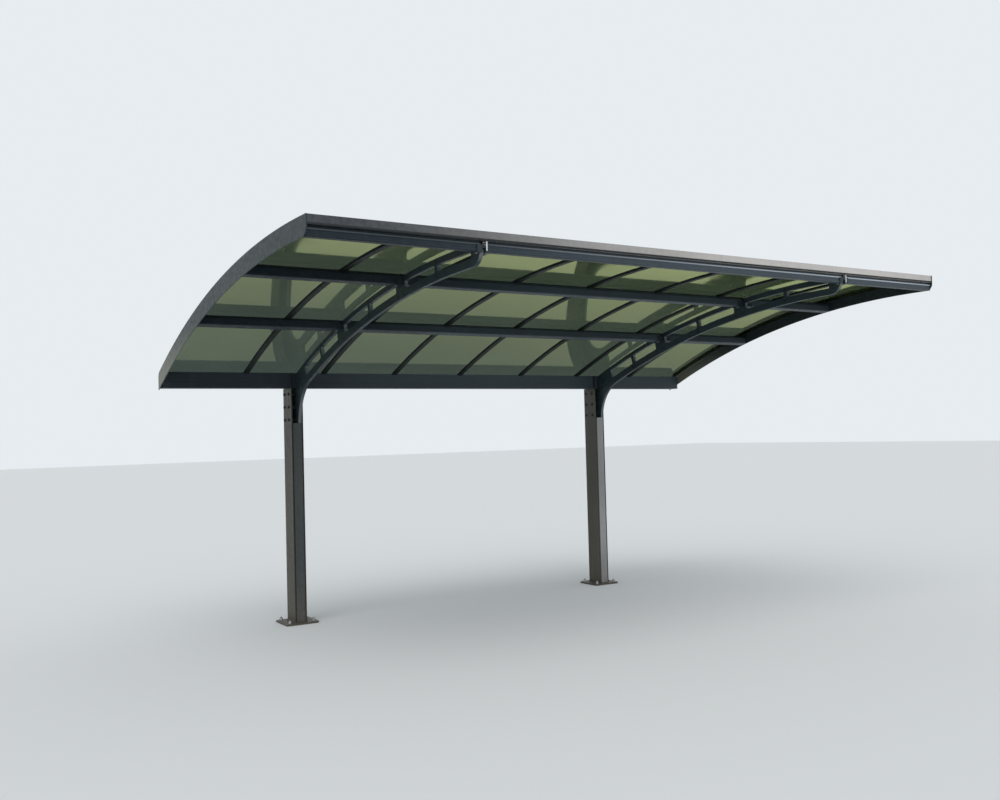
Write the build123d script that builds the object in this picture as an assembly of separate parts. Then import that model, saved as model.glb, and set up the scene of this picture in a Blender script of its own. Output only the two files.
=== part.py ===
from build123d import *
import math
import os

# A cantilever carport: two posts along the low rear edge carry two slotted, curved arms, and the
# arms carry a vaulted roof of smoked panels. X runs along the parking bay, -Y is the high open
# side, +Z is up. The origin is under the base plate of the left post. Sizes are millimetres.

# Driving sizes of the roof
roof_length = 4960
roof_depth = 2935
bay_count = 8
roof_radius = 6790
crown_setback = 135
eave_drop = 9
post_spacing = 2950
gutter_floor_height = 1810

# Posts and base plates
post_width = 95
post_depth = 165
post_wall = 5
post_lip = 8
post_lip_setback = 8
post_top_rise = 60
plate_size = 260
plate_thickness = 14
anchor_spacing = 190
anchor_hole = 18
cover_proud = 6
cover_wall = 4
cover_leg = 24

# Curved arms
arm_thickness = 24
arm_offset = 14
arm_top_root = 61
arm_top_tip = 54
arm_depth_root = 102
arm_depth_tip = 68
arm_tip_setback = 14
arm_tip_round = 88
leg_length = 270
leg_proud = 20
haunch_radius = 340
slot_height_root = 80
slot_height_tip = 36
slot_rise_root = -8
slot_rise_tip = -4
slot_corner = 12
slot_start = 210
slot_web = 30
joint_web = 124
joint_lead = 16
tip_web = 176
bolt_rows = 3
bolt_pitch = 100
bolt_drop = 45
bolt_rear_inset = 26
bolt_front_inset = 113
bolt_size = 12
bolt_sides = 8
bolt_head = 19
bolt_head_height = 8
bolt_sleeve = 24

# Long members, measured up from the underside of the roof
rear_bay_cut = 32
front_beam_setback = 42
purlin_width = 60
purlin_body = 50
purlin_neck = 30
purlin_edge = 4
front_beam_width = 44
front_beam_body = 42
front_beam_lip = 14
front_beam_lip_proud = 6
rail_top = 58
cleat_wall = 4
cleat_plate = 6
cleat_length = 60
front_cleat_length = 30
gutter_width = 110
gutter_wall = 4
gutter_setback = 24
gutter_back_height = 84
gutter_face_step = 3
gutter_groove = 5
gutter_groove_heights = (15, 40)

# Roof edge, bars and panels
fascia_depth = 110
fascia_plate = 6
fascia_flange = 26
fascia_flange_wall = 4
fascia_rear_round = 50
fascia_front_round = 50
fascia_edge_round = 4
front_cap_wall = 4
front_cap_depth = 45
bar_width = 38
bar_height = 8
bar_rib = 8
bar_cap_height = 6
panel_thickness = 4
panel_side_gap = 3
panel_rear_setback = 75
seat_gap = 0.3

# Worked-out places
end_overhang = (roof_length - post_spacing) / 2
roof_left = -end_overhang
roof_right = roof_left + roof_length
bay_width = roof_length / bay_count
gutter_front = -post_depth / 2 + gutter_setback
gutter_rear = gutter_front + gutter_width
roof_rear = gutter_rear + fascia_plate
roof_front = roof_rear - roof_depth
crown_y = roof_front + crown_setback
roof_rise = roof_radius - math.sqrt(roof_radius ** 2 - (roof_rear - crown_y) ** 2)
crown_height = gutter_floor_height - eave_drop + roof_rise
front_beam_y = roof_front + front_beam_setback
member_pitch = (gutter_front - front_beam_y + rear_bay_cut) / 3
purlin_stations = (front_beam_y + 2 * member_pitch, front_beam_y + member_pitch)
post_top = gutter_floor_height - seat_gap
leg_bottom = gutter_floor_height - leg_length
leg_front = -post_depth / 2 - leg_proud
post_inner_width = post_width - 2 * post_wall
bar_seat = rail_top + seat_gap + front_cap_wall
bar_bottom = bar_seat + seat_gap
bar_top = bar_bottom + bar_height
panel_bottom = bar_top + seat_gap
panel_top = panel_bottom + panel_thickness
fascia_inner = fascia_plate + seat_gap
posts = {"left": 0, "right": post_spacing}
arms = {side: x + arm_offset for side, x in posts.items()}


def slope_angle(y):
    """Angle of the roof's underside at this depth, positive where it falls towards the rear."""
    return math.asin((y - crown_y) / roof_radius)


def roof_height(y, rise=0):
    """Height of the curve that lies this far outside the roof's underside."""
    centre_height = crown_height - roof_radius
    return centre_height + math.sqrt((roof_radius + rise) ** 2 - (y - crown_y) ** 2)


def on_roof(y, rise=0):
    return (y, roof_height(y, rise))


def roof_section(x, y):
    """Section plane across a long member: its x axis runs down the slope to the rear."""
    angle = slope_angle(y)
    downhill = (0, math.cos(angle), -math.sin(angle))
    return Plane(origin=(x, y, roof_height(y)), x_dir=downhill, z_dir=(1, 0, 0))


def curved_face(low, high, y_rear, y_front):
    """Outline in the side view between two curves of the roof, with upright ends."""
    y_mid = (y_rear + y_front) / 2
    outline = [
        ThreePointArc(on_roof(y_rear, low), on_roof(y_mid, low), on_roof(y_front, low)),
        Line(on_roof(y_front, low), on_roof(y_front, high)),
        ThreePointArc(on_roof(y_front, high), on_roof(y_mid, high), on_roof(y_rear, high)),
        Line(on_roof(y_rear, high), on_roof(y_rear, low)),
    ]
    return make_face(Wire(outline))


def curved_strip(x_from, x_to, low, high, y_rear, y_front):
    face = Plane.YZ.offset(x_from) * curved_face(low, high, y_rear, y_front)
    return extrude(face, amount=x_to - x_from)


def side_plate(face, x_from, thickness):
    """A flat piece cut to an outline of the side view."""
    return extrude(Plane.YZ.offset(x_from) * face, amount=thickness)


def block(x, y, z):
    """A box from pairs of limits."""
    size = (x[1] - x[0], y[1] - y[0], z[1] - z[0])
    return Pos(sum(x) / 2, sum(y) / 2, sum(z) / 2) * Box(*size)


def bolt_places():
    rows = [gutter_floor_height - bolt_drop - bolt_pitch * row for row in range(bolt_rows)]
    columns = (post_depth / 2 - bolt_rear_inset, post_depth / 2 - bolt_front_inset)
    return [(y, z) for z in rows for y in columns]


def rod(x, y, z, width, sides, length):
    """A straight rod along X with flat sides, measured across its flats."""
    section = Pos(y, z) * RegularPolygon(width / 2, sides, major_radius=False)
    return extrude(Plane.YZ.offset(x - length / 2) * section, amount=length)


def base_plate(x):
    plate = Pos(x, 0, plate_thickness / 2) * Box(plate_size, plate_size, plate_thickness)
    plate = chamfer(plate.edges().filter_by(Axis.Z), 15)
    holes = GridLocations(anchor_spacing, anchor_spacing, 2, 2)
    drills = [Pos(x, 0, plate_thickness / 2) * place * Cylinder(anchor_hole / 2, 2 * plate_thickness)
              for place in holes]
    return plate - drills


def post(x):
    """Channel post, open to the front, whose side walls run up before the gutter to the roof."""
    half, front, rear = post_width / 2, -post_depth / 2, post_depth / 2
    height = (plate_thickness, post_top)
    notch_y = gutter_front - seat_gap
    side_view = Polyline((front, plate_thickness), on_roof(front, post_top_rise),
                         on_roof(notch_y, post_top_rise), (notch_y, post_top), (rear, post_top),
                         (rear, plate_thickness), close=True)
    shell = side_plate(make_face(side_view), x - half, post_width)
    tall = (plate_thickness - 1, crown_height)
    cavity = block((x - half + post_wall, x + half - post_wall), (front - 1, rear - post_wall), tall)
    channel = shell - cavity
    lip_rear = front + post_lip_setback + post_wall
    for side in (-1, 1):
        wall_face = x + side * (half - post_wall)
        lip = sorted((wall_face, wall_face - side * post_lip))
        channel += block(lip, (front + post_lip_setback, lip_rear), height)
    drills = [rod(x, y, z, bolt_size + 2 * seat_gap, bolt_sides, 2 * post_width)
              for y, z in bolt_places()]
    return channel - drills


def post_cover(x):
    """Cover strip that closes the post's front below the arm's leg."""
    half = post_inner_width / 2 - post_lip - seat_gap
    front = -post_depth / 2 - cover_proud
    height = (plate_thickness, leg_bottom - seat_gap)
    strip = block((x - half, x + half), (front, front + cover_leg), height)
    strip = chamfer(strip.edges().filter_by(Axis.Z).group_by(Axis.Y)[0], 2)
    hollow = block((x - half + cover_wall, x + half - cover_wall),
                   (front + cover_wall, front + cover_leg + 1), height)
    return strip - hollow


def arm_outline():
    """Side view of one arm: a leg in the post, a haunch, and a beam that tapers to its tip."""
    rear = gutter_front - seat_gap
    front = front_beam_y - front_beam_width / 2 + arm_tip_setback
    leg_rear = post_depth / 2 - post_wall - seat_gap
    # the haunch touches the lower edge, so one runs smoothly into the other
    haunch_y = leg_front - haunch_radius
    haunch_rise = -arm_depth_root - haunch_radius
    haunch_z = roof_height(haunch_y, haunch_rise)
    start_angle = math.asin((leg_bottom - haunch_z) / haunch_radius)
    end_angle = math.pi / 2 - math.asin((haunch_y - crown_y) / (roof_radius + haunch_rise))
    haunch = [(haunch_y + haunch_radius * math.cos(angle), haunch_z + haunch_radius * math.sin(angle))
              for angle in (start_angle, (start_angle + end_angle) / 2, end_angle)]
    middle_y = (haunch[2][0] + front) / 2
    middle_depth = (arm_depth_root + arm_depth_tip) / 2
    low_front = on_roof(front, -arm_depth_tip)
    top_rear = on_roof(rear, arm_top_root)
    top_mid = on_roof((rear + front) / 2, (arm_top_root + arm_top_tip) / 2)
    top_front = on_roof(front, arm_top_tip)
    outline = Wire([
        Line((leg_rear, leg_bottom), haunch[0]),
        ThreePointArc(*haunch),
        ThreePointArc(haunch[2], on_roof(middle_y, -middle_depth), low_front),
        Line(low_front, top_front),
        ThreePointArc(top_front, top_mid, top_rear),
        Line(top_rear, (rear, post_top - seat_gap)),
        Line((rear, post_top - seat_gap), (leg_rear, post_top - seat_gap)),
        Line((leg_rear, post_top - seat_gap), (leg_rear, leg_bottom)),
    ])
    face = make_face(outline)
    tip_corner = [v for v in face.vertices() if abs(v.X - front) < 1 and v.Y < low_front[1] + 1]
    return fillet(tip_corner, arm_tip_round)


def slot_spans():
    """Rear and front end of each slot, two to a bay, clear of the joints with the purlins."""
    joints = [y + joint_lead for y in purlin_stations]
    rear_ends = [gutter_front - slot_start, *(y - joint_web / 2 for y in joints)]
    front_ends = [*(y + joint_web / 2 for y in joints), front_beam_y + tip_web / 2]
    for rear, front in zip(rear_ends, front_ends):
        middle = (rear + front) / 2
        yield rear, middle + slot_web / 2
        yield middle - slot_web / 2, front


def slot_point(y, side):
    """Point on the slot's upper or lower edge, square above or below this place on the roof."""
    share = (y - gutter_front) / (front_beam_y - gutter_front)
    height = slot_height_root + (slot_height_tip - slot_height_root) * share
    rise = slot_rise_root + (slot_rise_tip - slot_rise_root) * share + side * height / 2
    angle = slope_angle(y)
    return (y + rise * math.sin(angle), roof_height(y) + rise * math.cos(angle))


def slot_face(rear, front):
    """Opening between the arm's two chords, with square ends and small corners."""
    middle = (rear + front) / 2
    outline = Wire([
        ThreePointArc(slot_point(rear, -1), slot_point(middle, -1), slot_point(front, -1)),
        Line(slot_point(front, -1), slot_point(front, 1)),
        ThreePointArc(slot_point(front, 1), slot_point(middle, 1), slot_point(rear, 1)),
        Line(slot_point(rear, 1), slot_point(rear, -1)),
    ])
    face = make_face(outline)
    return fillet(face.vertices(), slot_corner)


def arm(x):
    body = side_plate(arm_outline(), x - arm_thickness / 2, arm_thickness)
    for rear, front in slot_spans():
        body -= side_plate(slot_face(rear, front), x - arm_thickness, 2 * arm_thickness)
    body -= [rod(x, y, z, bolt_size + 2 * seat_gap, bolt_sides, 2 * arm_thickness)
             for y, z in bolt_places()]
    return body


def post_bolts(x):
    """Through bolts with a long and a short sleeve that hold the leg in its place in the post."""
    head_x = post_width / 2
    bolts = []
    for y, z in bolt_places():
        bolt = rod(x, y, z, bolt_size, bolt_sides, post_width)
        for side in (-1, 1):
            head = x + side * (head_x + bolt_head_height / 2)
            bolt += rod(head, y, z, bolt_head, 6, bolt_head_height)
            wall, leg = side * post_inner_width / 2, arm_offset + side * arm_thickness / 2
            bolt += rod(x + (wall + leg) / 2, y, z, bolt_sleeve, 6, abs(wall - leg))
        bolts.append(bolt)
    return Compound(children=bolts)


def purlin_section():
    """Flat-sided body with a narrow neck that carries the glazing bars."""
    body = Pos(0, purlin_body / 2) * Rectangle(purlin_width, purlin_body)
    body = chamfer(body.vertices(), purlin_edge)
    neck = Pos(0, (purlin_body + bar_seat) / 2 - 1) * Rectangle(purlin_neck, bar_seat - purlin_body + 2)
    return body + neck


def front_beam_section():
    """The purlin's section, wider, with a lip along the lower front edge."""
    body = Pos(0, front_beam_body / 2) * Rectangle(front_beam_width, front_beam_body)
    body = chamfer(body.vertices(), purlin_edge)
    neck_middle = (front_beam_body + rail_top) / 2 - 1
    neck = Pos(0, neck_middle) * Rectangle(purlin_neck, rail_top - front_beam_body + 2)
    lip_front = -front_beam_width / 2 - front_beam_lip_proud
    lip = Pos(lip_front / 2, front_beam_lip / 2) * Rectangle(-lip_front, front_beam_lip)
    lip = chamfer(lip.vertices().group_by(Axis.X)[0], purlin_edge)
    return body + neck + lip


def member_spans():
    """Lengths of the members between the end plates and the arms."""
    arm_faces = arm_thickness / 2 + cleat_plate + seat_gap
    left, right = arms["left"], arms["right"]
    return {
        "left": (roof_left + fascia_inner, left - arm_faces),
        "middle": (left + arm_faces, right - arm_faces),
        "right": (right + arm_faces, roof_right - fascia_inner),
    }


def long_member(section, y, span):
    return extrude(roof_section(span[0], y) * section, amount=span[1] - span[0])


def cleat(x_face, side, y, width, length):
    """Saddle bolted to the side of an arm: an end plate and a trough under the member's end."""
    outer = width + 2 * (cleat_wall + seat_gap)
    low = -cleat_wall - seat_gap
    top = front_beam_body - purlin_edge
    trough = Pos(0, (low + top) / 2) * Rectangle(outer, top - low)
    hollow = Pos(0, (top - seat_gap) / 2) * Rectangle(width + 2 * seat_gap, top + seat_gap)
    x_start = x_face if side > 0 else x_face - cleat_plate
    x_trough = x_face if side > 0 else x_face - length
    plane, trough_plane = roof_section(x_start, y), roof_section(x_trough, y)
    return (extrude(plane * trough, amount=cleat_plate)
            + extrude(trough_plane * (trough - hollow), amount=length))


def arm_cleats(x):
    stations = [(y, purlin_width, cleat_length) for y in purlin_stations]
    stations.append((front_beam_y, front_beam_width + 2 * front_beam_lip_proud, front_cleat_length))
    return Compound(children=[
        cleat(x + side * arm_thickness / 2, side, y, width, length)
        for y, width, length in stations for side in (-1, 1)
    ])


def gutter():
    """Trough along the low edge; its front wall closes up to the panels and carries the bars."""
    floor, length = gutter_floor_height, (roof_left + fascia_inner, roof_right - fascia_inner)
    face = gutter_front + gutter_face_step
    wall_top = roof_height(face, panel_bottom)
    trough = block(length, (face, gutter_rear), (floor, floor + gutter_wall))
    trough += block(length, (gutter_rear - gutter_wall, gutter_rear), (floor, floor + gutter_back_height))
    trough += block(length, (face, face + gutter_wall), (floor, wall_top))
    trough += block(length, (gutter_front, face + 1), (floor, wall_top))
    for height in gutter_groove_heights:
        groove = (floor + height, floor + height + gutter_groove)
        trough -= block((length[0] - 1, length[1] + 1), (gutter_front - 1, face), groove)
    over_wall = (face + 2 * gutter_wall, gutter_front - 20)
    trough -= curved_strip(length[0] - 1, length[1] + 1, panel_bottom - seat_gap, panel_bottom + 60, *over_wall)
    half = bar_width / 2 + seat_gap
    notches = [(bar_x(number) - half, bar_x(number) + half) for number in range(1, bay_count)]
    notches.append((roof_left, roof_left + fascia_plate + fascia_flange + seat_gap))
    notches.append((roof_right - fascia_plate - fascia_flange - seat_gap, roof_right))
    return trough - [curved_strip(*notch, bar_seat, panel_bottom + 60, *over_wall) for notch in notches]


def front_cap():
    """Channel that closes the high edge and holds the ends of bars and panels."""
    x_from, x_to = roof_left + fascia_inner, roof_right - fascia_inner
    front, rear = roof_front + fascia_edge_round, roof_front + front_cap_depth
    low, high = rail_top + seat_gap, fascia_depth
    outer = curved_strip(x_from, x_to, low, high, rear, front)
    inner = curved_strip(x_from - 1, x_to + 1, low + front_cap_wall, high - front_cap_wall,
                         rear + 1, front + front_cap_wall)
    return outer - inner


def fascia(outer_x, inward):
    """End plate of the roof, with a shelf under the last panel and a flange over it."""
    face = curved_face(0, fascia_depth, roof_rear, roof_front)
    corners = face.vertices()
    face = fillet([v for v in corners if v.X > roof_rear - 1 and v.Y > roof_height(roof_rear, 20)],
                  fascia_rear_round)
    front_low = [v for v in face.vertices() if v.X < roof_front + 1 and v.Y < crown_height + 20]
    face = fillet(front_low, fascia_front_round)
    plate = side_plate(face, min(outer_x, outer_x + inward * fascia_plate), fascia_plate)
    web = outer_x + inward * (fascia_plate - 1)
    flange_x = sorted((web, web + inward * (fascia_flange + 1)))
    rear, front = roof_rear - panel_rear_setback, roof_front + front_cap_depth + seat_gap
    plate += curved_strip(*flange_x, bar_top - fascia_flange_wall, bar_top, rear, front)
    plate += curved_strip(*flange_x, fascia_depth - fascia_flange_wall, fascia_depth, rear, front)
    return plate


def bar_ends():
    """Rear and front end of the glazing bars."""
    return roof_rear - panel_rear_setback, roof_front + fascia_edge_round + front_cap_wall + 2


def glazing_bar(x):
    rear, front = bar_ends()
    bar = curved_strip(x - bar_width / 2, x + bar_width / 2, bar_bottom, bar_top, rear, front)
    rib = curved_strip(x - bar_rib / 2, x + bar_rib / 2, bar_top - 1, panel_top, rear, front)
    return bar + rib


def bar_cap(x):
    rear, front = bar_ends()
    low = panel_top + seat_gap
    return curved_strip(x - bar_width / 2, x + bar_width / 2, low, low + bar_cap_height, rear, front)


def roof_panel(bay):
    """One curved sheet, held between two bars, or between a bar and an end plate."""
    half_rib = bar_rib / 2 + panel_side_gap
    x_from = bar_x(bay) + half_rib if bay > 0 else roof_left + fascia_plate + panel_side_gap
    x_to = bar_x(bay + 1) - half_rib if bay < bay_count - 1 else roof_right - fascia_plate - panel_side_gap
    return curved_strip(x_from, x_to, panel_bottom, panel_top, *bar_ends())


def bar_x(index):
    return roof_left + index * bay_width


def build_parts():
    parts = {}
    for side, x in posts.items():
        parts[f"{side}_base_plate"] = base_plate(x)
        parts[f"{side}_post"] = post(x)
        parts[f"{side}_post_cover"] = post_cover(x)
        parts[f"{side}_post_bolts"] = post_bolts(x)
        parts[f"{side}_arm"] = arm(arms[side])
        parts[f"{side}_arm_cleats"] = arm_cleats(arms[side])
    for place, span in member_spans().items():
        for number, y in enumerate(purlin_stations, start=1):
            parts[f"purlin_{number}_{place}"] = long_member(purlin_section(), y, span)
        parts[f"front_beam_{place}"] = long_member(front_beam_section(), front_beam_y, span)
    parts["rear_gutter"] = gutter()
    parts["front_cap"] = front_cap()
    parts["left_fascia"] = fascia(roof_left, 1)
    parts["right_fascia"] = fascia(roof_right, -1)
    for number in range(1, bay_count):
        parts[f"glazing_bar_{number}"] = glazing_bar(bar_x(number))
    parts["bar_caps"] = Compound(children=[bar_cap(bar_x(number)) for number in range(1, bay_count)])
    for bay in range(bay_count):
        parts[f"roof_panel_{bay + 1}"] = roof_panel(bay)
    return parts


os.makedirs("parts", exist_ok=True)
for node, solid in build_parts().items():
    export_step(solid, f"parts/{node}.step")
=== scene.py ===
import math
import bmesh
import bpy
from mathutils import Matrix, Vector


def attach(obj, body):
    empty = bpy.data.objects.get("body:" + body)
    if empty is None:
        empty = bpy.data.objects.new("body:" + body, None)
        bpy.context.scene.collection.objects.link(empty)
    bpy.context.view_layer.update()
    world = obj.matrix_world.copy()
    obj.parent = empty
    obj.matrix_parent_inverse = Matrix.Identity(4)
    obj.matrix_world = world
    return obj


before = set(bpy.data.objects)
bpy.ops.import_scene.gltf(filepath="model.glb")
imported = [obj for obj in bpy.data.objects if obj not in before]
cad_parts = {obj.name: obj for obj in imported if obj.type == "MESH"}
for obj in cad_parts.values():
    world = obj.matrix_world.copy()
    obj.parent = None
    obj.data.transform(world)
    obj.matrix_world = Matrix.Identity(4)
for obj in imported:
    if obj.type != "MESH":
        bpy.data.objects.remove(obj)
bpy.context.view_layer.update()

# Camera
# A person's eye a little below shoulder height stands in front of the carport's left end and looks
# to the right, slightly upwards, so that the roof is seen from below.
turn, tilt, roll = math.radians(32.41), math.radians(1.88), 0.0268
eye = Vector((-2.813, -7.4405, 1.422))
forward = Vector((math.sin(turn) * math.cos(tilt), math.cos(turn) * math.cos(tilt), math.sin(tilt)))
level_right = Vector((math.cos(turn), -math.sin(turn), 0))
level_down = forward.cross(level_right)
right = level_right * math.cos(roll) + level_down * math.sin(roll)
down = level_down * math.cos(roll) - level_right * math.sin(roll)
camera_data = bpy.data.cameras.new("camera")
camera_data.lens = 36
camera_data.sensor_width = 36
camera_data.sensor_fit = "HORIZONTAL"
camera = bpy.data.objects.new("camera", camera_data)
bpy.context.scene.collection.objects.link(camera)
camera.matrix_world = Matrix((
    (right.x, -down.x, -forward.x, eye.x),
    (right.y, -down.y, -forward.y, eye.y),
    (right.z, -down.z, -forward.z, eye.z),
    (0, 0, 0, 1),
))
bpy.context.scene.camera = camera

# Floor, daylight and lamps
# A plain pale studio floor that runs to a pale horizon, soft light from all round, a broad soft lamp
# from the front left and a weak one from the right.
bpy.context.scene.view_settings.view_transform = "Standard"


def let_go():
    """Nothing stays selected, so that the next tool acts on the new piece alone."""
    if bpy.context.object and bpy.context.object.mode != "OBJECT":
        bpy.ops.object.mode_set(mode="OBJECT")
    bpy.ops.object.select_all(action="DESELECT")


let_go()
bpy.ops.mesh.primitive_plane_add(size=120, location=(1.5, 0, 0))
floor = bpy.context.object
floor.name = "floor"
floor_paint = bpy.data.materials.new("pale_floor")
floor_paint.use_nodes = True
floor_shader = floor_paint.node_tree.nodes["Principled BSDF"]
floor_shader.inputs["Base Color"].default_value = (0.80, 0.81, 0.80, 1)
floor_shader.inputs["Roughness"].default_value = 0.9
floor_shader.inputs["Specular IOR Level"].default_value = 0.1
floor.data.materials.append(floor_paint)

world = bpy.data.worlds.new("daylight")
bpy.context.scene.world = world
world.use_nodes = True
sky = world.node_tree
sky.nodes.clear()
seen = sky.nodes.new("ShaderNodeLightPath")
seen_directly = sky.nodes.new("ShaderNodeMath")
seen_directly.operation = "MAXIMUM"
sky.links.new(seen.outputs["Is Camera Ray"], seen_directly.inputs[0])
sky.links.new(seen.outputs["Is Glossy Ray"], seen_directly.inputs[1])
seen_at_all = sky.nodes.new("ShaderNodeMath")
seen_at_all.operation = "MAXIMUM"
sky.links.new(seen_directly.outputs[0], seen_at_all.inputs[0])
sky.links.new(seen.outputs["Is Transmission Ray"], seen_at_all.inputs[1])
soft_light = sky.nodes.new("ShaderNodeBackground")
soft_light.inputs["Color"].default_value = (0.86, 0.93, 1.0, 1)
soft_light.inputs["Strength"].default_value = 0.45
pale_back = sky.nodes.new("ShaderNodeBackground")
pale_back.inputs["Color"].default_value = (0.80, 0.84, 0.87, 1)
pale_back.inputs["Strength"].default_value = 1
either = sky.nodes.new("ShaderNodeMixShader")
sky.links.new(seen_at_all.outputs[0], either.inputs["Fac"])
sky.links.new(soft_light.outputs[0], either.inputs[1])
sky.links.new(pale_back.outputs[0], either.inputs[2])
world_out = sky.nodes.new("ShaderNodeOutputWorld")
sky.links.new(either.outputs[0], world_out.inputs["Surface"])

lamps = (("daylight_lamp", (-0.55, -0.75, 0.62), 75, 2.0), ("fill_lamp", (0.8, -0.6, 0.5), 90, 0.5))
for name, from_where, softness, strength in lamps:
    lamp_data = bpy.data.lights.new(name, "SUN")
    lamp_data.angle = math.radians(softness)
    lamp_data.energy = strength
    lamp = bpy.data.objects.new(name, lamp_data)
    bpy.context.scene.collection.objects.link(lamp)
    lamp.rotation_euler = Vector(from_where).to_track_quat("Z", "Y").to_euler()

# Posts and base plates
# Extruded aluminium channels, welded to square foot plates and powder-coated in a warm grey that the
# weather, pale water runs and splashes have dulled. Four anchor rods with washers and nuts hold each
# plate, and washers lie under the bolts of the arms' legs.
weathered = bpy.data.node_groups.new("weathered_coat", "ShaderNodeTree")
for socket, kind in (("Coat", "Color"), ("Bleached", "Color"), ("Dirt", "Color"),
                     ("Bleaching", "Float"), ("Runs", "Float"), ("Splash", "Float")):
    weathered.interface.new_socket(socket, in_out="INPUT", socket_type="NodeSocket" + kind)
for socket, kind in (("Colour", "Color"), ("Roughness", "Float"), ("Height", "Float")):
    weathered.interface.new_socket(socket, in_out="OUTPUT", socket_type="NodeSocket" + kind)


def add_node(tree, kind, settings=(), **values):
    """A node with its settings, and its inputs given as values or as other nodes' outputs."""
    node = tree.nodes.new("ShaderNode" + kind)
    for name, value in dict(settings).items():
        setattr(node, name, value)
    for name, value in values.items():
        socket = node.inputs[int(name[1:])] if name[1:].isdigit() else node.inputs[name.replace("_", " ")]
        if isinstance(value, bpy.types.NodeSocket):
            tree.links.new(value, socket)
        else:
            socket.default_value = value
    return node


coat_in = weathered.nodes.new("NodeGroupInput").outputs
coat_out = weathered.nodes.new("NodeGroupOutput").inputs
where = add_node(weathered, "TexCoord").outputs["Object"]
facing = add_node(weathered, "SeparateXYZ", _0=add_node(weathered, "NewGeometry").outputs["Normal"])
height = add_node(weathered, "SeparateXYZ", _0=where).outputs["Z"]
broad = add_node(weathered, "TexNoise", Vector=where, Scale=1.1, Detail=5.0)
mottle = add_node(weathered, "TexNoise", Vector=where, Scale=38.0, Detail=4.0)
peel = add_node(weathered, "TexNoise", Vector=where, Scale=650.0, Detail=1.0)
tall = add_node(weathered, "Mapping", Vector=where, Scale=(26.0, 26.0, 0.9))
streak = add_node(weathered, "TexNoise", Vector=tall.outputs["Vector"], Scale=1.0, Detail=4.0)
broad_tone = add_node(weathered, "MapRange", Value=broad.outputs["Fac"], _1=0.3, _2=0.7, _3=0.82, _4=1.16)
fine_tone = add_node(weathered, "MapRange", Value=mottle.outputs["Fac"], _1=0.3, _2=0.7, _3=0.92, _4=1.08)
tone = add_node(weathered, "Math", {"operation": "MULTIPLY"},
                _0=broad_tone.outputs[0], _1=fine_tone.outputs[0])
toned = add_node(weathered, "VectorMath", {"operation": "SCALE"}, _0=coat_in["Coat"], Scale=tone.outputs[0])
upward = add_node(weathered, "MapRange", Value=facing.outputs["Z"], _1=0.05, _2=0.9, _3=0.0, _4=0.75)
patchy = add_node(weathered, "MapRange", Value=mottle.outputs["Fac"], _1=0.35, _2=0.65, _3=0.0, _4=0.3)
settled = add_node(weathered, "Math", {"operation": "ADD"}, _0=upward.outputs[0], _1=patchy.outputs[0])
bleach = add_node(weathered, "Math", {"operation": "MULTIPLY", "use_clamp": True},
                  _0=settled.outputs[0], _1=coat_in["Bleaching"])
dulled = add_node(weathered, "Mix", {"data_type": "RGBA"}, _0=bleach.outputs[0],
                  _6=toned.outputs[0], _7=coat_in["Bleached"])
run_lines = add_node(weathered, "MapRange", Value=streak.outputs["Fac"], _1=0.52, _2=0.72, _3=0.0, _4=1.0)
run_mask = add_node(weathered, "Math", {"operation": "MULTIPLY"},
                    _0=run_lines.outputs[0], _1=coat_in["Runs"])
streaked = add_node(weathered, "Mix", {"data_type": "RGBA"}, _0=run_mask.outputs[0],
                    _6=dulled.outputs[2], _7=coat_in["Bleached"])
low = add_node(weathered, "MapRange", Value=height, _1=0.0, _2=0.45, _3=1.0, _4=0.0)
splashed = add_node(weathered, "Math", {"operation": "MULTIPLY"},
                    _0=low.outputs[0], _1=mottle.outputs["Fac"])
splash = add_node(weathered, "Math", {"operation": "MULTIPLY"},
                  _0=splashed.outputs[0], _1=coat_in["Splash"])
dirtied = add_node(weathered, "Mix", {"data_type": "RGBA"}, _0=splash.outputs[0],
                   _6=streaked.outputs[2], _7=coat_in["Dirt"])
dull = add_node(weathered, "MapRange", Value=mottle.outputs["Fac"], _1=0.3, _2=0.7, _3=0.36, _4=0.56)
chalk = add_node(weathered, "Math", {"operation": "MULTIPLY"}, _0=bleach.outputs[0], _1=0.25)
roughness = add_node(weathered, "Math", {"operation": "ADD"}, _0=dull.outputs[0], _1=chalk.outputs[0])
weathered.links.new(dirtied.outputs[2], coat_out["Colour"])
weathered.links.new(roughness.outputs[0], coat_out["Roughness"])
weathered.links.new(peel.outputs["Fac"], coat_out["Height"])


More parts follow.
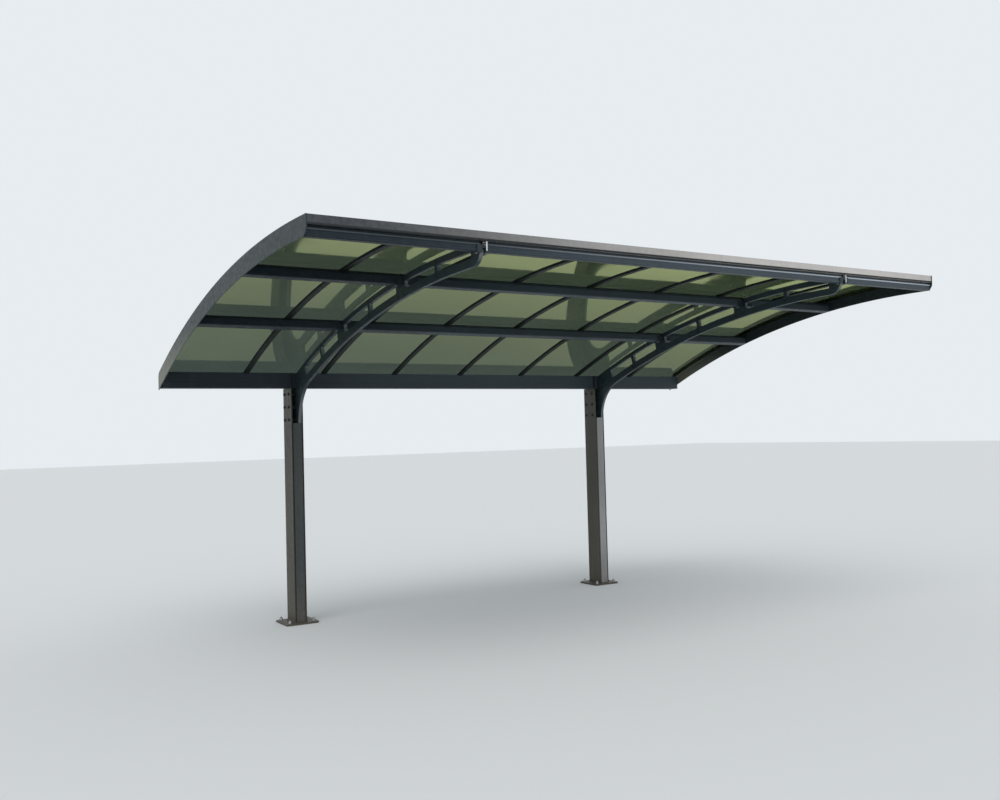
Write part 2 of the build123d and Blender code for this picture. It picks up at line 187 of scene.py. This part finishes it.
def coated(name, coat, bleached, bleaching=0.5, runs=0.15, splash=0.0, painted_light=None, specular=0.45):
    """A powder-coated metal finish; an optional fade of painted light or shade is given as an axis, two
    places and the coat's colour at the second.
    """
    material = bpy.data.materials.new(name)
    material.use_nodes = True
    tree = material.node_tree
    shader = tree.nodes["Principled BSDF"]
    shader.inputs["Specular IOR Level"].default_value = specular
    weather = tree.nodes.new("ShaderNodeGroup")
    weather.node_tree = weathered
    settings = {"Coat": (*coat, 1), "Bleached": (*bleached, 1), "Dirt": (0.10, 0.085, 0.065, 1),
                "Bleaching": bleaching, "Runs": runs, "Splash": splash}
    for socket, value in settings.items():
        weather.inputs[socket].default_value = value
    # Painted light: the coat is blended along the axis towards a lighter or darker colour that stands for
    # sunlight or shade.
    if painted_light:
        axis, start, end, light_or_shade_coat = painted_light
        place = add_node(tree, "SeparateXYZ", _0=add_node(tree, "TexCoord").outputs["Object"])
        light_share = add_node(tree, "MapRange", {"interpolation_type": "SMOOTHSTEP"},
                         Value=place.outputs[axis], _1=start, _2=end, _3=0.0, _4=1.0)
        painted_light_mix = add_node(tree, "Mix", {"data_type": "RGBA"}, _0=light_share.outputs[0],
                         _6=(*coat, 1), _7=(*light_or_shade_coat, 1))
        tree.links.new(painted_light_mix.outputs[2], weather.inputs["Coat"])
    relief = add_node(tree, "Bump", Strength=0.12, Distance=0.0004, Height=weather.outputs["Height"])
    tree.links.new(weather.outputs["Colour"], shader.inputs["Base Color"])
    tree.links.new(weather.outputs["Roughness"], shader.inputs["Roughness"])
    tree.links.new(relief.outputs["Normal"], shader.inputs["Normal"])
    return material


def dress(material, *nodes):
    """The frame's own solids take the finish."""
    for node in nodes:
        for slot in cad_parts[node].material_slots:
            slot.material = material


def plain_metal(name, colour, worn_colour, metallic, smooth, rough):
    """Bare or plated metal with fine blotches and a brushed grain."""
    material = bpy.data.materials.new(name)
    material.use_nodes = True
    tree = material.node_tree
    shader = tree.nodes["Principled BSDF"]
    shader.inputs["Metallic"].default_value = metallic
    place = add_node(tree, "TexCoord").outputs["Object"]
    blotch = add_node(tree, "TexNoise", Vector=place, Scale=90.0, Detail=5.0)
    blend = add_node(tree, "Mix", {"data_type": "RGBA"}, _0=blotch.outputs["Fac"],
                     _6=(*colour, 1), _7=(*worn_colour, 1))
    gloss = add_node(tree, "MapRange", Value=blotch.outputs["Fac"], _1=0.3, _2=0.7, _3=smooth, _4=rough)
    grain = add_node(tree, "TexNoise", Vector=place, Scale=900.0, Detail=2.0)
    relief = add_node(tree, "Bump", Strength=0.2, Distance=0.0002, Height=grain.outputs["Fac"])
    tree.links.new(blend.outputs[2], shader.inputs["Base Color"])
    tree.links.new(gloss.outputs[0], shader.inputs["Roughness"])
    tree.links.new(relief.outputs["Normal"], shader.inputs["Normal"])
    return material


def new_box(name, low_corner, high_corner):
    """A box between two corners, as the start of a piece."""
    let_go()
    middle = [(first + last) / 2 for first, last in zip(low_corner, high_corner)]
    bpy.ops.mesh.primitive_cube_add(size=1, location=middle)
    piece = bpy.context.object
    piece.name = name
    piece.scale = [last - first for first, last in zip(low_corner, high_corner)]
    bpy.ops.object.transform_apply(location=True, rotation=True, scale=True)
    return piece


def new_rod(name, radius, length, sides, place, axis="Z"):
    """A rod about this place, as the start of a piece."""
    let_go()
    turned = {"X": (0, math.pi / 2, 0), "Y": (math.pi / 2, 0, 0), "Z": (0, 0, 0)}[axis]
    bpy.ops.mesh.primitive_cylinder_add(vertices=sides, radius=radius, depth=length,
                                        location=place, rotation=turned)
    piece = bpy.context.object
    piece.name = name
    bpy.ops.object.transform_apply(location=True, rotation=True, scale=True)
    return piece


def pick(piece, test):
    """The piece is opened with only those faces selected whose middle and normal pass the test."""
    let_go()
    piece.select_set(True)
    bpy.context.view_layer.objects.active = piece
    bpy.ops.object.mode_set(mode="EDIT")
    bpy.ops.mesh.select_mode(type="FACE")
    bpy.ops.mesh.select_all(action="DESELECT")
    shape = bmesh.from_edit_mesh(piece.data)
    for face in shape.faces:
        face.select_set(bool(test(face.calc_center_median(), face.normal)))
    bmesh.update_edit_mesh(piece.data)


def joined(name, pieces):
    """Several copies become one piece."""
    let_go()
    for piece in pieces:
        piece.select_set(True)
    bpy.context.view_layer.objects.active = pieces[0]
    bpy.ops.object.join()
    whole = bpy.context.object
    whole.name = whole.data.name = name
    return whole


def copies(name, piece, places):
    """The piece once at each of these places, joined, each place an offset or a matrix."""
    made = []
    for place in places:
        copy = piece.copy()
        copy.data = piece.data.copy()
        bpy.context.scene.collection.objects.link(copy)
        copy.data.transform(place if isinstance(place, Matrix) else Matrix.Translation(place))
        made.append(copy)
    bpy.data.objects.remove(piece)
    return joined(name, made)


def finished(piece, material, angle=35):
    """Closed up, smoothed by angle, painted and fixed to the carport."""
    let_go()
    piece.select_set(True)
    bpy.context.view_layer.objects.active = piece
    bpy.ops.object.mode_set(mode="EDIT")
    bpy.ops.mesh.select_all(action="SELECT")
    bpy.ops.mesh.remove_doubles(threshold=0.00001)
    bpy.ops.mesh.normals_make_consistent(inside=False)
    bpy.ops.object.mode_set(mode="OBJECT")
    bpy.ops.object.shade_smooth_by_angle(angle=math.radians(angle))
    piece.data.materials.clear()
    piece.data.materials.append(material)
    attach(piece, "root")


# Painted shade: the posts are painted dark above 1.8 m, where the roof's shade falls on their tops beside
# the gutter.
post_coat = coated("post_coat", (0.041, 0.039, 0.028), (0.13, 0.125, 0.10),
                   bleaching=0.3, runs=0.2, splash=0.7,
                   painted_light=("Z", 1.800, 1.812, (0.012, 0.020, 0.024)), specular=0.3)
dress(post_coat, "left_post", "right_post", "left_base_plate", "right_base_plate")
# Painted light: the post covers are painted dark on the left, in the roof's shade, and light towards the
# right, where sunlight falls on them.
cover_coat = coated("cover_coat", (0.026, 0.034, 0.036), (0.12, 0.12, 0.11),
                    bleaching=0.3, runs=0.12, splash=0.9,
                    painted_light=("X", 0.2, 2.7, (0.270, 0.270, 0.275)))
dress(cover_coat, "left_post_cover", "right_post_cover")
bolt_steel = plain_metal("bolt_steel", (0.014, 0.015, 0.017), (0.035, 0.034, 0.033),
                         metallic=0.4, smooth=0.45, rough=0.65)
dress(bolt_steel, "left_post_bolts", "right_post_bolts")
zinc = plain_metal("zinc_plating", (0.30, 0.31, 0.31), (0.19, 0.19, 0.18),
                   metallic=1.0, smooth=0.4, rough=0.6)

plate_top = 0.014
anchor_reach = 0.095
weld_half_width, weld_half_depth, weld_height, weld_breadth = 0.0545, 0.0895, 0.006, 0.0065
washer_side, bolt_columns, bolt_rows = 0.0483, (0.0565, -0.0305), (1.765, 1.665, 1.565)
for side, post_x in (("left", 0.0), ("right", 2.95)):
    washer = new_rod("washer", 0.0145, 0.003, 24, (0, 0, plate_top + 0.0015))
    pick(washer, lambda middle, normal: normal.z > 0.9)
    bpy.ops.mesh.bevel(offset=0.0006, segments=2)
    nut = new_rod("nut", 0.0127, 0.012, 6, (0, 0, plate_top + 0.009))
    pick(nut, lambda middle, normal: normal.z > 0.9)
    bpy.ops.mesh.bevel(offset=0.0016, segments=2)
    rod = new_rod("rod", 0.0076, 0.025, 16, (0, 0, plate_top + 0.0135))
    pick(rod, lambda middle, normal: normal.z > 0.9)
    bpy.ops.mesh.bevel(offset=0.0015, segments=1)
    anchor = joined("anchor", [washer, nut, rod])
    corners = [(post_x + x, y, 0)
               for x in (-anchor_reach, anchor_reach) for y in (-anchor_reach, anchor_reach)]
    finished(copies(f"{side}_anchors", anchor, corners), zinc)

    weld = new_box(f"{side}_foot_weld", (post_x - weld_half_width, -weld_half_depth, plate_top),
                   (post_x + weld_half_width, weld_half_depth, plate_top + weld_height))
    pick(weld, lambda middle, normal: normal.z > 0.9)
    bpy.ops.mesh.inset(thickness=weld_breadth)
    bpy.ops.mesh.delete(type="FACE")
    pick(weld, lambda middle, normal: abs(normal.z) < 0.1)
    bpy.ops.mesh.bevel(offset=0.004, segments=3)
    finished(weld, post_coat)

    ring = new_rod("ring", 0.0135, 0.0016, 24, (0, 0, 0), "X")
    pick(ring, lambda middle, normal: abs(normal.x) > 0.9)
    bpy.ops.mesh.bevel(offset=0.0004, segments=1)
    seats = [(post_x + wall, y, z)
             for wall in (-washer_side, washer_side) for y in bolt_columns for z in bolt_rows]
    finished(copies(f"{side}_washers", ring, seats), bolt_steel)

# Arms
# Each arm is cut from thick aluminium plate in the dark coating of the roof frame; the faces that face the
# front are painted paler, as painted daylight. Small dark button bolts hold the struts and the purlins'
# saddles, and a screwed block closes the tip.
frame_coat = coated("frame_coat", (0.015, 0.028, 0.034), (0.05, 0.06, 0.063),
                    bleaching=0.4, runs=0.08, specular=0.35)
frame_tree = frame_coat.node_tree
# Painted highlight: faces turned to the front are painted paler, where daylight falls on them.
highlight_normal = add_node(frame_tree, "SeparateXYZ", _0=add_node(frame_tree, "NewGeometry").outputs["Normal"])
front_highlight_share = add_node(frame_tree, "MapRange", Value=highlight_normal.outputs["Y"],
                      _1=-0.6, _2=-0.9, _3=0.0, _4=1.0)
weather_colour = frame_tree.nodes["Principled BSDF"].inputs["Base Color"].links[0].from_socket
painted_front_highlight = add_node(frame_tree, "Mix", {"data_type": "RGBA"}, _0=front_highlight_share.outputs[0],
                      _6=weather_colour, _7=(0.125, 0.140, 0.145, 1))
frame_tree.links.new(painted_front_highlight.outputs[2], frame_tree.nodes["Principled BSDF"].inputs["Base Color"])
dress(frame_coat, "left_arm", "right_arm")
saddle_coat = coated("saddle_coat", (0.010, 0.020, 0.025), (0.05, 0.06, 0.063),
                     bleaching=0.4, runs=0.05, specular=0.3)
dress(saddle_coat, "left_arm_cleats", "right_arm_cleats")
dark_steel = plain_metal("dark_steel", (0.012, 0.014, 0.016), (0.04, 0.042, 0.045),
                         metallic=0.7, smooth=0.3, rough=0.5)

roof_y, roof_z, roof_radius = -2.7425, -4.3848, 6.790
half_arm = 0.012
arms = {"left": 0.014, "right": 2.964}
purlins = (-0.9628, -1.8992)


def on_roof(y, rise):
    """Height of the curve that lies this far outside the roof's underside."""
    return roof_z + math.sqrt((roof_radius + rise) ** 2 - (y - roof_y) ** 2)


def to_roof(x, y, rise=0.0):
    """Moves a piece from the origin to this place on the roof, its Z square to the slope."""
    angle = math.asin((y - roof_y) / roof_radius)
    outward = Vector((0, math.sin(angle), math.cos(angle)))
    place = Vector((x, y, on_roof(y, 0))) + outward * rise
    return Matrix.Translation(place) @ Matrix.Rotation(-angle, 4, "X")


chord_bolts = [(-0.577, 0.046), (-0.577, -0.072), (-0.904, -0.066), (-0.993, -0.066), (-1.415, 0.041),
               (-1.415, -0.062), (-1.842, -0.058), (-1.926, -0.058), (-2.346, 0.036), (-2.346, -0.050)]
root_bolts = [(-0.135, 1.815), (-0.195, 1.830), (-0.155, 1.875)]
arm_front, tip_front, tip_half = -2.8436, -2.8690, 0.0105
for side, arm_x in arms.items():
    heads = []
    for face in (-1, 1):
        head = new_rod("head", 0.0092, 0.003, 14, (face * 0.0015, 0, 0), "X")
        pick(head, lambda middle, normal: normal.x * face > 0.9)
        bpy.ops.mesh.bevel(offset=0.0005, segments=1)
        pick(head, lambda middle, normal: normal.x * face > 0.98)
        bpy.ops.mesh.extrude_region_move(TRANSFORM_OT_translate={"value": (face * 0.0016, 0, 0)})
        bpy.ops.transform.resize(value=(1, 0.72, 0.72))
        bpy.ops.mesh.inset(thickness=0.0022)
        bpy.ops.mesh.extrude_region_move(TRANSFORM_OT_translate={"value": (-face * 0.0018, 0, 0)})
        places = [(arm_x + face * half_arm, y, on_roof(y, rise)) for y, rise in chord_bolts]
        places += [(arm_x + face * half_arm, y, z) for y, z in root_bolts]
        heads.append(copies("heads", head, places))
    finished(joined(f"{side}_arm_bolts", heads), dark_steel)

    block = new_box(f"{side}_tip_block", (arm_x - tip_half, tip_front, 2.4225),
                    (arm_x + tip_half, arm_front, 2.4580))
    pick(block, lambda middle, normal: normal.y < -0.9)
    bpy.ops.mesh.bevel(offset=0.0016, segments=3)
    finished(block, dark_steel)
    screw = new_rod("screw", 0.0030, 0.0014, 12, (0, -0.0007, 0), "Y")
    pick(screw, lambda middle, normal: normal.y < -0.9)
    bpy.ops.mesh.bevel(offset=0.0006, segments=2)
    spots = [(arm_x + x, tip_front, z) for x, z in ((-0.0052, 2.4515), (0.0058, 2.4530), (0.0058, 2.4400))]
    finished(copies(f"{side}_tip_screws", screw, spots), zinc)

# Purlins, front beam and gutter
# Aluminium extrusions run the roof's length in the same dark coating, painted lighter towards the right as
# painted light. Thin black strips along the purlins' necks, under the sheets, are painted shade. Hexagon
# bolts hold the saddles, a joint plate, painted pale as painted sunlight, covers the start of each front
# beam right of an arm, and thin straps keep the gutter's walls apart.
# Painted light: the members are painted near black on the left and lighter towards the right, where light
# thrown up from below falls on them.
member_coat = coated("member_coat", (0.005, 0.012, 0.018), (0.06, 0.07, 0.078), bleaching=0.3, runs=0.08,
                     painted_light=("X", -0.9, 1.6, (0.042, 0.057, 0.068)), specular=0.2)
lengthwise = ("left", "middle", "right")
members = [f"{kind}_{place}" for kind in ("purlin_1", "purlin_2", "front_beam") for place in lengthwise]
dress(member_coat, *members, "rear_gutter")

# Black rubber for the bar gaskets, also used on the strips that are painted shade along the purlins and the
# cap.
rubber_and_shade = bpy.data.materials.new("black_rubber_and_shade")
rubber_and_shade.use_nodes = True
rubber_tree = rubber_and_shade.node_tree
rubber_shader = rubber_tree.nodes["Principled BSDF"]
rubber_shader.inputs["Specular IOR Level"].default_value = 0.3
rubber_where = add_node(rubber_tree, "TexCoord").outputs["Object"]
bloom = add_node(rubber_tree, "TexNoise", Vector=rubber_where, Scale=25.0, Detail=5.0)
rubber_tone = add_node(rubber_tree, "Mix", {"data_type": "RGBA"}, _0=bloom.outputs["Fac"],
                       _6=(0.006, 0.008, 0.009, 1), _7=(0.018, 0.021, 0.022, 1))
rubber_gloss = add_node(rubber_tree, "MapRange", Value=bloom.outputs["Fac"],
                        _1=0.3, _2=0.7, _3=0.55, _4=0.8)
rubber_tree.links.new(rubber_tone.outputs[2], rubber_shader.inputs["Base Color"])
rubber_tree.links.new(rubber_gloss.outputs[0], rubber_shader.inputs["Roughness"])

roof_left, bar_spacing = -1.005, 0.62
bar_places = [roof_left + bar_spacing * number for number in range(1, 8)]
neck_half, shade_low, shade_high = 0.0115, 0.0625, 0.0706
shade_edges = [-0.968, *[place + step for place in bar_places for step in (-0.0245, 0.0245)], 3.918]
# Painted shade: thin black strips along each purlin's neck stand for the shade between the neck and the
# sheets.
for row, purlin_y in enumerate(purlins, start=1):
    lengths = []
    for left_end, right_end in zip(shade_edges[0::2], shade_edges[1::2]):
        strip = new_box("strip", (left_end, -neck_half, shade_low), (right_end, neck_half, shade_high))
        pick(strip, lambda middle, normal: abs(normal.y) > 0.9)
        bpy.ops.mesh.inset(thickness=0.0024)
        bpy.ops.mesh.extrude_region_move(TRANSFORM_OT_translate={"value": (0, 0, 0)})
        bpy.ops.transform.resize(value=(1, 0.8, 1))
        bpy.ops.object.mode_set(mode="OBJECT")
        strip.data.transform(to_roof(0, purlin_y))
        lengths.append(strip)
    finished(joined(f"purlin_shade_strip_{row}", lengths), rubber_and_shade)

hexagon = new_rod("hexagon", 0.0075, 0.005, 6, (0, 0, -0.0025))
pick(hexagon, lambda middle, normal: normal.z < -0.9)
bpy.ops.mesh.bevel(offset=0.0012, segments=1)
flange = new_rod("flange", 0.0098, 0.0014, 20, (0, 0, -0.0007))
pick(flange, lambda middle, normal: normal.z < -0.9)
bpy.ops.mesh.bevel(offset=0.0004, segments=1)
hexagon = joined("hexagon", [hexagon, flange])
saddle_underside, beam_saddle_y = -0.0043, -2.8355
saddle_spots = [to_roof(arm_x + face * (half_arm + 0.036), purlin_y, saddle_underside)
                for arm_x in arms.values() for face in (-1, 1) for purlin_y in purlins]
saddle_spots += [to_roof(arm_x + face * (half_arm + 0.019), beam_saddle_y, saddle_underside)
                 for arm_x in arms.values() for face in (-1, 1)]
finished(copies("saddle_bolts", hexagon, saddle_spots), zinc)

# Painted highlight: the bead is a thin light strip, painted dark on the left and pale towards the right,
# where sunlight catches it.
bead_highlight_coat = coated("bead_highlight_coat", (0.014, 0.024, 0.030), (0.10, 0.11, 0.12), bleaching=0.3, runs=0.0,
                   painted_light=("X", -0.6, 3.2, (0.36, 0.40, 0.45)))
bead_ends = ((-0.998, -0.005), (0.033, 2.945), (2.983, 3.948))
bead_front, beam_front = -2.8630, -2.8574
for place, (left_end, right_end) in zip(lengthwise, bead_ends):
    bead = new_box(f"front_bead_{place}", (left_end, bead_front, 2.4385), (right_end, beam_front, 2.4480))
    pick(bead, lambda middle, normal: normal.y < -0.9)
    bpy.ops.mesh.bevel(offset=0.0030, segments=3)
    finished(bead, bead_highlight_coat)

# Painted highlight: the joint plates are painted pale for the sunlight that catches their front edges.
sunlit_plate_coat = coated("sunlit_plate_coat", (0.52, 0.54, 0.54), (0.62, 0.62, 0.60), bleaching=0.3, runs=0.1)
plate_width, plate_front, plate_rear = 0.0080, -2.8706, -2.8684
for side, arm_x in arms.items():
    left_edge = arm_x + half_arm + 0.0012
    plate = new_box(f"{side}_joint_plate", (left_edge, plate_front, 2.4080),
                    (left_edge + plate_width, plate_rear, 2.4600))
    pick(plate, lambda middle, normal: normal.y < -0.9)
    bpy.ops.mesh.bevel(offset=0.0007, segments=2)
    finished(plate, sunlit_plate_coat)

strap = new_box("strap", (-0.010, -0.0514, 1.8800), (0.010, 0.0474, 1.8820))
pick(strap, lambda middle, normal: abs(normal.y) > 0.9)
bpy.ops.mesh.extrude_region_move(TRANSFORM_OT_translate={"value": (0, 0, -0.004)})
pick(strap, lambda middle, normal: abs(normal.x) > 0.9)
bpy.ops.mesh.bevel(offset=0.0005, segments=1)
first_bay_middle = -0.695
strap_places = [(first_bay_middle + bar_spacing * bay, 0, 0) for bay in range(8)]
finished(copies("gutter_straps", strap, strap_places), zinc)

# Glazing bars and their caps
# Curved aluminium bars between the sheets, with caps that press the sheets down. Thin black gaskets
# show along both edges of each bar, and pan-head screws hold the caps.
bar_coat = coated("bar_coat", (0.009, 0.015, 0.013), (0.045, 0.05, 0.046),
                  bleaching=0.35, runs=0.05, specular=0.1)
dress(bar_coat, *[f"glazing_bar_{number}" for number in range(1, 8)], "bar_caps")

gasket_front, gasket_rear = -2.8315, -0.0610
start_angle = math.asin((gasket_front - roof_y) / roof_radius)
end_angle = math.asin((gasket_rear - roof_y) / roof_radius)
roof_centre = Matrix.Translation((0, roof_y, roof_z))
gasket_width, gasket_low, gasket_high, half_slice = 0.0048, 0.0690, 0.0708, 0.0001
gasket = new_box("gasket", (0, roof_y - half_slice, roof_z + roof_radius + gasket_low),
                 (gasket_width, roof_y + half_slice, roof_z + roof_radius + gasket_high))
pick(gasket, lambda middle, normal: normal.y < 0.9)
bpy.ops.mesh.delete(type="FACE")
bpy.ops.object.mode_set(mode="OBJECT")
gasket.data.transform(roof_centre @ Matrix.Rotation(-start_angle, 4, "X") @ roof_centre.inverted())
pick(gasket, lambda middle, normal: True)
bpy.ops.mesh.spin(steps=36, angle=end_angle - start_angle, center=(0, roof_y, roof_z), axis=(1, 0, 0))
bpy.ops.object.mode_set(mode="OBJECT")
edges = [place + step for place in bar_places for step in (0.0191, -0.0239)] + [-0.9729, 3.9181]
finished(copies("bar_gaskets", gasket, [(edge, 0, 0) for edge in edges]), rubber_and_shade)

pan = new_rod("pan", 0.0050, 0.0016, 14, (0, 0, 0.0008))
pick(pan, lambda middle, normal: normal.z > 0.9)
bpy.ops.mesh.extrude_region_move(TRANSFORM_OT_translate={"value": (0, 0, 0.0009)})
bpy.ops.transform.resize(value=(0.66, 0.66, 1))
bpy.ops.mesh.inset(thickness=0.0018)
bpy.ops.mesh.extrude_region_move(TRANSFORM_OT_translate={"value": (0, 0, -0.0008)})
bpy.ops.object.mode_set(mode="OBJECT")
first_screw, screw_spacing, cap_top = -2.78, 0.33, 0.0812
cap_screws = [to_roof(place, first_screw + screw_spacing * number, cap_top)
              for place in bar_places for number in range(9)]
finished(copies("cap_screws", pan, cap_screws), zinc)

# Aluminium end plates, curved to the roof, and a straight cap along its high front edge, in the same
# coating, with painted daylight on both: the end plates are painted pale low down and dark towards the top,
# and the cap dark on the left and pale towards the right. A black strip along the foot of the cap is
# painted shade.
# Painted light: the end plates are painted pale with daylight low down and dark towards the top.
edge_coat = coated("edge_coat", (0.150, 0.157, 0.127), (0.13, 0.14, 0.125), bleaching=0.3, runs=0.06,
                   painted_light=("Z", 1.88, 2.22, (0.008, 0.018, 0.020)), specular=0.3)
dress(edge_coat, "left_fascia", "right_fascia")
# Painted light: the cap is painted dark on the left and pale towards the right, where sunlight falls on it.
cap_coat = coated("cap_coat", (0.014, 0.019, 0.025), (0.30, 0.29, 0.28), bleaching=0.25, runs=0.03,
                  painted_light=("X", -1.0, 2.4, (0.44, 0.42, 0.40)))
dress(cap_coat, "front_cap")

# Painted shade: a black strip along the cap's foot stands for the shaded recess between the cap and the
# front beam.
cap_shade_strip = new_box("front_shade_strip", (-0.998, -2.8750, 2.4625), (3.948, -2.8735, 2.4735))
pick(cap_shade_strip, lambda middle, normal: normal.y < -0.9)
bpy.ops.mesh.bevel(offset=0.0008, segments=2)
finished(cap_shade_strip, rubber_and_shade)

# Roof sheets
# Cold-curved sheets of smoked clear plastic, glossy on both sides and pressed down by the bar caps.
# The tinted coat on their undersides isn't there on the real sheets. It is painted reflection: it gives the
# olive cast that reflected greenery lends them when they are seen from below, the olive specular and coat
# tints paint the same reflection, and the bluish underside colour keeps what shows through them neutral.
smoke = bpy.data.materials.new("smoked_sheet")
smoke.use_nodes = True
smoke_tree = smoke.node_tree
smoke_shader = smoke_tree.nodes["Principled BSDF"]
smoke_shader.inputs["Transmission Weight"].default_value = 1.0
smoke_shader.inputs["IOR"].default_value = 1.35
# Painted reflection: the specular and coat tints colour the sheets' reflections olive.
smoke_shader.inputs["Specular Tint"].default_value = (0.80, 0.88, 0.50, 1)
smoke_shader.inputs["Coat IOR"].default_value = 1.02
smoke_shader.inputs["Coat Tint"].default_value = (0.975, 1.0, 0.80, 1)
smoke_where = add_node(smoke_tree, "TexCoord").outputs["Object"]
haze = add_node(smoke_tree, "TexNoise", Vector=smoke_where, Scale=1.4, Detail=5.0)
under_tint = add_node(smoke_tree, "Mix", {"data_type": "RGBA"}, _0=haze.outputs["Fac"],
                      _6=(0.060, 0.072, 0.130, 1), _7=(0.104, 0.120, 0.215, 1))
upper_tint = add_node(smoke_tree, "Mix", {"data_type": "RGBA"}, _0=haze.outputs["Fac"],
                      _6=(0.062, 0.078, 0.066, 1), _7=(0.105, 0.128, 0.110, 1))
sheet_facing = add_node(smoke_tree, "SeparateXYZ", _0=add_node(smoke_tree, "NewGeometry").outputs["Normal"])
# Painted reflection: faces turned downwards get the olive coat and the bluish colour that balances it.
painted_reflection_side = add_node(smoke_tree, "Math", {"operation": "LESS_THAN"}, _0=sheet_facing.outputs["Z"], _1=0.0)
tint = add_node(smoke_tree, "Mix", {"data_type": "RGBA"}, _0=painted_reflection_side.outputs[0],
                _6=upper_tint.outputs[2], _7=under_tint.outputs[2])
film = add_node(smoke_tree, "TexNoise", Vector=smoke_where, Scale=9.0, Detail=6.0)
film_gloss = add_node(smoke_tree, "MapRange", Value=film.outputs["Fac"], _1=0.35, _2=0.75, _3=0.02, _4=0.09)
smoke_tree.links.new(tint.outputs[2], smoke_shader.inputs["Base Color"])
smoke_tree.links.new(film_gloss.outputs[0], smoke_shader.inputs["Roughness"])
smoke_tree.links.new(painted_reflection_side.outputs[0], smoke_shader.inputs["Coat Weight"])
dress(smoke, *[f"roof_panel_{number}" for number in range(1, 9)])
